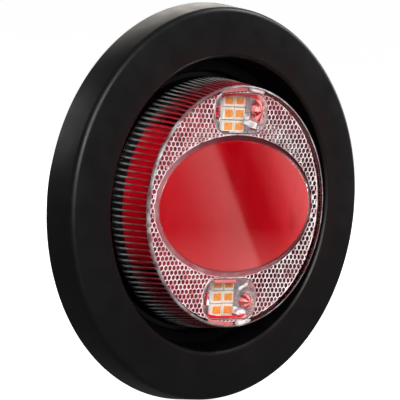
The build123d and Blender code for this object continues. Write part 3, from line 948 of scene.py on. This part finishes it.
class PrismPiece(bpy.types.Operator):
    """Make the field of hexagonal prisms between the oval and the edge of the lens's face"""

    bl_idname = "tail_lamp.prisms"
    bl_label = "Prism field"

    def execute(self, context):
        sizes = context.scene.prism_sizes
        lens = context.scene.lens_sizes
        windows = context.scene.window_sizes
        colours = context.scene.lamp_colours
        close, gap, wall = 0.02 * MM, 0.1 * MM, 0.05 * MM
        smallest = 0.2 * MM * MM
        y = LENS_LOW.y + lens.face_thickness + gap
        oval = (lens.oval_half_width + lens.oval_bevel, lens.oval_half_height + lens.oval_bevel)
        rim = lens.wall_front_radius - sizes.margin
        overhang = 0.3 * sizes.cell_width
        shape = bmesh.new()
        rows = int(rim / sizes.row_pitch) + 1
        columns = int(rim / sizes.cell_width) + 1
        for row in range(-rows, rows + 1):
            for step in range(-columns, columns + 1):
                x = (step + 0.5 * (row % 2)) * sizes.cell_width
                z = row * sizes.row_pitch
                in_oval = (x / (oval[0] - overhang)) ** 2 + (z / (oval[1] - overhang)) ** 2 < 1.0
                past_rim = math.hypot(x, z) > rim + overhang
                if not (in_oval or past_rim or inside_window(x, z, windows, -overhang)):
                    add_hexagon(shape, x, y, z, sizes)
        bmesh.ops.remove_doubles(shape, verts=shape.verts[:], dist=close)
        for vertex in shape.verts:
            fit_to_field(vertex, rim, oval, windows)
        bmesh.ops.remove_doubles(shape, verts=shape.verts[:], dist=close)
        bmesh.ops.dissolve_degenerate(shape, edges=shape.edges[:], dist=close)
        loose = [edge for edge in shape.edges if not edge.link_faces]
        bmesh.ops.delete(shape, geom=loose, context="EDGES")
        for face in shape.faces:
            face.normal_update()
            if face.normal.y > 0:
                face.normal_flip()
        cells = [face for face in shape.faces if len(face.verts) > 3 and face.calc_area() > smallest]
        ridge = {"thickness": sizes.ridge_width / 2, "depth": -sizes.ridge_height}
        bmesh.ops.inset_individual(shape, faces=cells, use_even_offset=True, **ridge)
        poked = bmesh.ops.poke(shape, faces=cells, offset=-sizes.prism_depth, center_mode="MEAN")
        for face in poked["faces"]:
            face.material_index = 1
        surfaces = [ridge_surface(colours), prism_surface(colours)]
        thicken(add_piece("prism_field", shape, surfaces), wall)
        return {"FINISHED"}


def window_core(windows):
    """Half the width and height of a window without its rounded corners."""
    return windows.width / 2 - windows.corner, windows.height / 2 - windows.corner


def inside_window(x, z, windows, grow):
    """Whether a point lies inside a window's outline, let out by `grow`."""
    core_x, core_z = window_core(windows)
    off_z = abs(abs(z) - WINDOW_CENTRE)
    return math.hypot(max(abs(x) - core_x, 0.0), max(off_z - core_z, 0.0)) < windows.corner + grow


def add_hexagon(shape, x, y, z, sizes):
    """One flat hexagon of the field, with its corners up and down."""
    radius = sizes.cell_width / math.sqrt(3)
    made = bmesh.ops.create_circle(shape, cap_ends=True, segments=6, radius=radius)["verts"]
    squeeze = Matrix.Diagonal((1.0, 1.0, sizes.row_pitch / (1.5 * radius), 1.0))
    bmesh.ops.transform(shape, matrix=Matrix.Translation((x, y, z)) @ squeeze @ UPRIGHT, verts=made)


def fit_to_field(vertex, rim, oval, windows):
    """Pull a corner that overhangs the field onto the field's edge."""
    x, z = vertex.co.x, vertex.co.z
    radius = math.hypot(x, z)
    if radius > rim:
        vertex.co.x, vertex.co.z = x * rim / radius, z * rim / radius
    reach = math.hypot(x / oval[0], z / oval[1])
    if reach < 1.0:
        vertex.co.x, vertex.co.z = x / reach, z / reach
    core_x, core_z = window_core(windows)
    centre = math.copysign(WINDOW_CENTRE, z)
    off_z = z - centre
    near = Vector((max(-core_x, min(core_x, x)), max(-core_z, min(core_z, off_z))))
    away = Vector((x, off_z)) - near
    if 0.0 < away.length < windows.corner:
        edge = near + away.normalized() * windows.corner
        vertex.co.x, vertex.co.z = edge.x, edge.y + centre


class WindowPieces(bpy.types.Operator):
    """Make each window's reflector, clear optic, LED bodies and phosphors, and its red details"""

    bl_idname = "tail_lamp.windows"
    bl_label = "LED windows"

    def execute(self, context):
        windows = context.scene.window_sizes
        colours = context.scene.lamp_colours
        chrome = chrome_surface()
        clear = clear_surface("clear optic plastic")
        white = plastic_surface("white LED body", (0.8, 0.77, 0.7), (0.62, 0.58, 0.5), 0.35)
        amber = phosphor_surface(colours)
        deep = facet_surface()
        # Painted light: the lit copy of the red, for the domes' lit facets, the lower red band and the
        # salmon arcs.
        lit = plastic_surface("lit red plastic", colours.salmon, (0.75, 0.19, 0.18), 0.25)
        maroon = plastic_surface("dark red plastic", (0.07, 0.006, 0.012), (0.2, 0.03, 0.04), 0.15)
        bright = reflection_facet_surface()
        for side, sign in SIDES.items():
            self.add_reflector(side, windows, chrome)
            self.add_optic(side, windows, clear)
            self.add_leds(side, windows, white, amber)
            self.add_dome(side, sign, windows, [deep, lit])
            self.add_strips(side, sign, windows, deep, lit, maroon, bright)
            self.add_frame(side, sign, windows, maroon)
            self.add_rim_arc(side, sign, "salmon_arc", -15, 2.5, lit, "red_lens")
            self.add_rim_arc(side, sign, "silver_arc", 3.5, 14, bright, "clear_lens")
        return {"FINISHED"}

    def add_rim_arc(self, side, sign, name, start, end, material, slot):
        """Light caught in the lens's edge beyond a window, from one angle to another in degrees."""
        lens = bpy.context.scene.lens_sizes
        depth, thickness, blunt = 0.5 * MM, 0.5 * MM, 0.15
        front = LENS_LOW.y + depth
        back = front + thickness
        inner, outer = lens.wall_front_radius - 0.25 * MM, lens.face_radius - 0.3 * MM
        middle = (inner + outer) / 2
        arc = bmesh.new()
        corners = [(inner, front), (outer, front), (outer, back), (inner, back)]
        face = arc.faces.new([arc.verts.new((0.0, y, sign * radius)) for radius, y in corners])
        tilt = Matrix.Rotation(math.radians(sign * start), 3, "Y")
        bmesh.ops.rotate(arc, cent=(0, 0, 0), matrix=tilt, verts=arc.verts[:])
        sweep = {"cent": (0, 0, 0), "axis": (0, sign, 0), "angle": math.radians(end - start)}
        bmesh.ops.spin(arc, geom=[face], steps=24, **sweep)
        for vertex in arc.verts:
            turned = math.degrees(math.atan2(vertex.co.x, sign * vertex.co.z))
            share = min(max((turned - start) / (end - start), 0.0), 1.0)
            pinch = blunt + (1 - blunt) * math.sin(math.pi * share) ** 0.5
            stretch_radius(vertex, (radius_of(vertex.co) - middle) * (pinch - 1))
        finish_shape(arc)
        add_piece(f"{name}_{side}", arc, [material])

    def add_dome(self, side, sign, windows, reds):
        """A dome of red facets at the right of a window, with painted light and shade: deep and lit red by
        turns.
        """
        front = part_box(f"reflector_{side}")[0].y
        width, depth, from_edge, sector_angle = 1.9 * MM, 1.6 * MM, 1.3 * MM, math.pi / 6
        height, rise = (2.9 * MM, 0.5 * MM) if sign > 0 else (1.6 * MM, -0.9 * MM)
        centre = Vector((windows.width / 2 - from_edge, front + 2.0 * MM, sign * WINDOW_CENTRE + rise))
        dome = bmesh.new()
        bmesh.ops.create_uvsphere(dome, u_segments=12, v_segments=6, radius=1.0)
        place = Matrix.Translation(centre) @ Matrix.Diagonal((width, depth, height, 1.0))
        bmesh.ops.transform(dome, matrix=place @ UPRIGHT, verts=dome.verts[:])
        # Painted light and shade: sectors take the deep and the lit red by turns.
        for face in dome.faces:
            out = face.calc_center_median() - centre
            face.material_index = int((math.atan2(out.z, out.x) + math.pi) / sector_angle) % 2
        add_piece(f"red_dome_{side}", dome, reds)

    def add_strips(self, side, sign, windows, deep, lit, maroon, bright):
        """Narrow facets that show in a window: red plastic, painted reflections in bright plastic, a dark
        facet of painted shade, and in the lower window a band of lit red, painted light.
        """
        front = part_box(f"reflector_{side}")[0].y
        edge = windows.height / 2 / MM - 0.35
        left = 1.2 - windows.width / 2 / MM
        glint = -2.2 if sign > 0 else -3.1
        thickness, rounding = 0.4 * MM, 0.12 * MM
        # Each strip: name, centre across and up, width, height and depth in millimetres,
        # tilt in degrees, material.
        strips = [
            ("red_bar", left, 0.0, 1.0, 3.0, 0.5, 0, deep),
            ("bright_facet", 4.4, glint, 4.8, 1.5, 1.6, 14, bright),
            ("dark_facet", 5.6, glint - 1.3, 2.6, 0.4, 1.2, 10, maroon),
        ]
        if sign > 0:
            strips += [
                ("red_band", -1.6, -edge, 8.6, 0.6, 0.3, 0, maroon),
                ("pale_band", -0.6, 0.1 - edge, 5.6, 0.35, 0.05, 0, bright),
                ("pale_facet", 2.6, -0.9, 2.2, 1.0, 1.3, 28, bright),
            ]
        else:
            strips += [
                ("red_band", -1.6, edge - 0.2, 7.0, 1.0, 0.3, 0, lit),
                ("grey_facet", 5.4, 2.5, 3.0, 0.7, 1.3, -24, bright),
            ]
        for name, across, up, width, height, depth, turned, material in strips:
            strip = bmesh.new()
            place = Vector((across * MM, front + depth * MM, sign * WINDOW_CENTRE + up * MM))
            add_block(strip, place, (width * MM, thickness, height * MM), rounding)
            tilt = Matrix.Rotation(math.radians(turned), 3, "Y")
            bmesh.ops.rotate(strip, cent=place, matrix=tilt, verts=strip.verts[:])
            add_piece(f"{name}_{side}", strip, [material])

    def add_frame(self, side, sign, windows, maroon):
        """The fine dark outline of a window."""
        low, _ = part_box(f"reflector_{side}")
        proud, width, depth = 0.02 * MM, 0.2 * MM, 0.15 * MM
        shape = rounded_plate(windows, 0.0, low.y - proud, sign * WINDOW_CENTRE)
        middle = shape.faces[:]
        line = {"thickness": width, "use_even_offset": True, "use_boundary": True}
        bmesh.ops.inset_region(shape, faces=middle, **line)
        bmesh.ops.delete(shape, geom=middle, context="FACES")
        bmesh.ops.solidify(shape, geom=shape.faces[:], thickness=depth)
        finish_shape(shape)
        add_piece(f"window_outline_{side}", shape, [maroon])

    def add_reflector(self, side, windows, chrome):
        """A metallised tray whose walls lean in towards the LEDs."""
        node = f"reflector_{side}"
        low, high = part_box(node)
        centre = middle_of(node)
        gap, floor, lean, wall = 0.05 * MM, 0.4 * MM, 3.2 * MM, 0.25 * MM
        shape = rounded_plate(windows, gap, low.y, centre.z)
        face = shape.faces[:]
        sunk = push_back(shape, face, high.y - low.y - floor)
        bmesh.ops.delete(shape, geom=face, context="FACES")
        narrowing = scale_about(centre, 1 - lean / (high.x - low.x), 0.98)
        bmesh.ops.transform(shape, matrix=narrowing, verts=sunk)
        bmesh.ops.recalc_face_normals(shape, faces=shape.faces[:])
        for face in shape.faces:
            if face.normal.y > 0.9:
                face.normal_flip()
        thicken(add_piece(f"reflector_tray_{side}", shape, [chrome], [node]), wall)

    def add_optic(self, side, windows, clear):
        """The clear block over the LEDs."""
        node = f"window_optic_{side}"
        low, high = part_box(node)
        centre = middle_of(node)
        gap, left_cut, right_cut = 0.4 * MM, -6.7 * MM, 2.6 * MM
        back_width, back_height = 0.84, 0.975  # shares of the front's
        shape = rounded_plate(windows, gap, low.y, centre.z)
        sunk = push_back(shape, shape.faces[:], high.y - low.y)
        bmesh.ops.transform(shape, matrix=scale_about(centre, back_width, back_height), verts=sunk)
        for cut, normal in ((right_cut, (0.8, -0.6, 0)), (left_cut, (-1, 0, 0))):
            geometry = shape.verts[:] + shape.edges[:] + shape.faces[:]
            plane = {"plane_co": (cut, low.y, 0), "plane_no": normal, "clear_outer": True}
            sliced = bmesh.ops.bisect_plane(shape, geom=geometry, **plane)["geom_cut"]
            loop = [item for item in sliced if isinstance(item, bmesh.types.BMEdge)]
            bmesh.ops.contextual_create(shape, geom=loop)
        finish_shape(shape)
        add_piece(f"led_optic_{side}", shape, [clear], [node])

    def add_leds(self, side, windows, white, amber):
        """White LED bodies with bevelled edges, and a crowned amber phosphor in each."""
        low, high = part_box(f"led_packages_{side}")
        fill_low, fill_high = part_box(f"led_emitters_{side}")
        body_size = (windows.led_width, high.y - low.y, windows.led_height)
        fill_size = (windows.phosphor_width, fill_high.y - fill_low.y, windows.phosphor_height)
        body_y = (low.y + high.y) / 2
        proud = 0.03 * MM
        fill_y = (fill_low.y + fill_high.y) / 2 - proud
        bodies, fills = bmesh.new(), bmesh.new()
        for index in range(LED_COLUMNS):
            for row in range(LED_ROWS):
                x = spread(low.x, high.x, CAD_LED_WIDTH, index, LED_COLUMNS)
                z = spread(low.z, high.z, CAD_LED_HEIGHT, row, LED_ROWS)
                add_block(bodies, (x, body_y, z), body_size, windows.led_bevel)
                add_block(fills, (x, fill_y, z), fill_size, windows.phosphor_bevel)
        add_piece(f"led_bodies_{side}", bodies, [white], [f"led_packages_{side}"])
        add_piece(f"led_phosphor_{side}", fills, [amber], [f"led_emitters_{side}"])


class CarriedParts(bpy.types.Operator):
    """Give the housing, board, pins, screws and small parts their finishes"""

    bl_idname = "tail_lamp.carried_parts"
    bl_label = "Carried-over parts"

    def execute(self, context):
        chip = plastic_surface("chip plastic", (0.02, 0.02, 0.022), (0.035, 0.035, 0.037), 0.5)
        ceramic = plastic_surface("chip ceramic", (0.45, 0.38, 0.3), (0.3, 0.25, 0.2), 0.4)
        brass = metal_surface("pin brass", (0.72, 0.5, 0.22), (0.6, 0.42, 0.2), 0.24)
        black, paler_black = (0.013, 0.013, 0.014), (0.022, 0.022, 0.023)
        resin, paler_resin = (0.02, 0.022, 0.02), (0.04, 0.045, 0.04)
        finishes = {
            "lamp_housing": plastic_surface("housing plastic", black, paler_black, 0.36),
            "lens_seal": plastic_surface("seal rubber", (0.03, 0.03, 0.032), (0.05, 0.05, 0.052), 0.6),
            "circuit_board": plastic_surface("board mask", (0.78, 0.79, 0.77), (0.68, 0.69, 0.68), 0.3),
            "board_screws": metal_surface("screw steel", (0.62, 0.62, 0.63), (0.5, 0.5, 0.52), 0.28),
            "terminal_pin_power": brass,
            "terminal_pin_ground": brass,
            "solder_joints": metal_surface("solder", (0.65, 0.66, 0.68), (0.5, 0.51, 0.53), 0.25),
            "potting_compound": plastic_surface("potting resin", resin, paler_resin, 0.18),
            "driver_chip": chip,
            "bridge_rectifier": chip,
            "surge_suppressor": chip,
            "chip_resistors": ceramic,
            "chip_capacitors": ceramic,
        }
        for node, material in finishes.items():
            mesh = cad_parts[node].data
            mesh.materials.clear()
            mesh.materials.append(material)
        return {"FINISHED"}


class Studio(bpy.types.Operator):
    """Set the pale floor, the soft lights, the surroundings and the camera"""

    bl_idname = "tail_lamp.studio"
    bl_label = "Studio"

    def execute(self, context):
        settings = context.scene.studio_settings
        context.scene.view_settings.view_transform = "Standard"
        self.add_floor(settings)
        self.add_reflected_card()
        self.set_surroundings(settings)
        for light in LIGHTS:
            self.add_softbox(*light)
        self.add_camera(settings)
        return {"FINISHED"}

    def add_floor(self, settings):
        """A wide pale floor that the grommet's edge stands on."""
        shape = bmesh.new()
        bmesh.ops.create_grid(shape, x_segments=1, y_segments=1, size=FLOOR_HALF)
        bmesh.ops.translate(shape, vec=(0, 0, cad_box[0][2]), verts=shape.verts[:])
        floor = new_object("floor", shape)
        glow = {"Emission_Strength": settings.floor_brightness, "Emission_Color": (1.0, 1.0, 1.0, 1.0)}
        surface = Surface("pale floor", (0.9, 0.9, 0.9), 0.7, **glow)
        surface.vary_colour(0.4, (0.9, 0.9, 0.9), (0.88, 0.88, 0.885))
        floor.data.materials.append(surface.material)
        floor.visible_glossy = False
        floor.visible_diffuse = False
        floor.visible_transmission = False

    def add_reflected_card(self):
        """A softbox with a slanting edge, which shows only as the sheen on the lamp's face."""
        shape = bmesh.new()
        bmesh.ops.create_grid(shape, x_segments=1, y_segments=1, size=CARD_HALF)
        place = Matrix.Translation(CARD_CENTRE) @ UPRIGHT
        bmesh.ops.transform(shape, matrix=place, verts=shape.verts[:])
        card = new_object("reflected_card", shape)
        card.data.materials.append(card_surface())
        card.visible_camera = False
        card.visible_diffuse = False
        card.visible_shadow = False

    def set_surroundings(self, settings):
        """Plain white to look at, and a softer grey to light the lamp."""
        world = bpy.data.worlds.new("studio")
        bpy.context.scene.world = world
        world.use_nodes = True
        tree = world.node_tree
        tree.nodes.clear()
        output = tree.nodes.new("ShaderNodeOutputWorld")
        chooser = tree.nodes.new("ShaderNodeMixShader")
        path = tree.nodes.new("ShaderNodeLightPath")
        tree.links.new(path.outputs["Is Camera Ray"], chooser.inputs["Fac"])
        tree.links.new(chooser.outputs["Shader"], output.inputs["Surface"])
        for socket, strength in ((1, settings.surround_brightness), (2, 1.0)):
            background = tree.nodes.new("ShaderNodeBackground")
            background.inputs["Color"].default_value = (1.0, 1.0, 1.0, 1.0)
            background.inputs["Strength"].default_value = strength
            tree.links.new(background.outputs["Background"], chooser.inputs[socket])

    def add_softbox(self, name, place, size, power, tint):
        """A square area light that points at the lamp and isn't seen itself."""
        light = bpy.data.lights.new(name, "AREA")
        light.energy = power
        light.size = size
        light.color = tint
        holder = bpy.data.objects.new(name, light)
        bpy.context.scene.collection.objects.link(holder)
        facing = Vector(place).to_track_quat("Z", "Y").to_matrix().to_4x4()
        holder.matrix_world = Matrix.Translation(place) @ facing
        holder.visible_camera = False

    def add_camera(self, settings):
        """A long lens a little above the lamp's middle, well round to its left."""
        turned, rise, roll = settings.camera_turn, settings.camera_rise, settings.camera_roll
        level = math.cos(rise)
        back = Vector((math.sin(turned) * level, -math.cos(turned) * level, math.sin(rise)))
        right = Vector((math.cos(turned), math.sin(turned), 0.0))
        up = back.cross(right)
        side = math.cos(roll) * right + math.sin(roll) * up
        top = math.cos(roll) * up - math.sin(roll) * right
        camera = bpy.data.objects.new("camera", bpy.data.cameras.new("camera"))
        bpy.context.scene.collection.objects.link(camera)
        camera.data.lens = settings.lens_length
        camera.data.sensor_width = 36.0  # the sensor that the focal length is given for, in millimetres
        camera.data.clip_start = 50 * MM
        axes = Matrix((side, top, back)).transposed().to_4x4()
        camera.matrix_world = Matrix.Translation(settings.camera_place) @ axes
        bpy.context.scene.camera = camera


OPERATORS = [
    GrommetPiece,
    ClearLensPiece,
    FluteHighlights,
    RedLensPiece,
    PrismPiece,
    WindowPieces,
    CarriedParts,
    Studio,
]


class TailLampPanel(bpy.types.Panel):
    """Lists the lamp's pieces and their settings"""

    bl_idname = "VIEW3D_PT_tail_lamp"
    bl_label = "Tail Lamp"
    bl_space_type = "VIEW_3D"
    bl_region_type = "UI"
    bl_category = "Tail Lamp"

    def draw(self, context):
        for operator in OPERATORS:
            self.layout.operator(operator.bl_idname)
        for name, group in SETTINGS.items():
            box = self.layout.box()
            for setting in group.__annotations__:
                box.prop(getattr(context.scene, name), setting)


CLASSES = [*SETTINGS.values(), *OPERATORS, TailLampPanel]


def register():
    for item in CLASSES:
        bpy.utils.register_class(item)
    for name, group in SETTINGS.items():
        setattr(bpy.types.Scene, name, PointerProperty(type=group))


def unregister():
    for name in SETTINGS:
        delattr(bpy.types.Scene, name)
    for item in reversed(CLASSES):
        bpy.utils.unregister_class(item)


def main():
    register()
    for operator in OPERATORS:
        group, _, action = operator.bl_idname.partition(".")
        getattr(getattr(bpy.ops, group), action)()


if __name__ == "__main__":
    main()
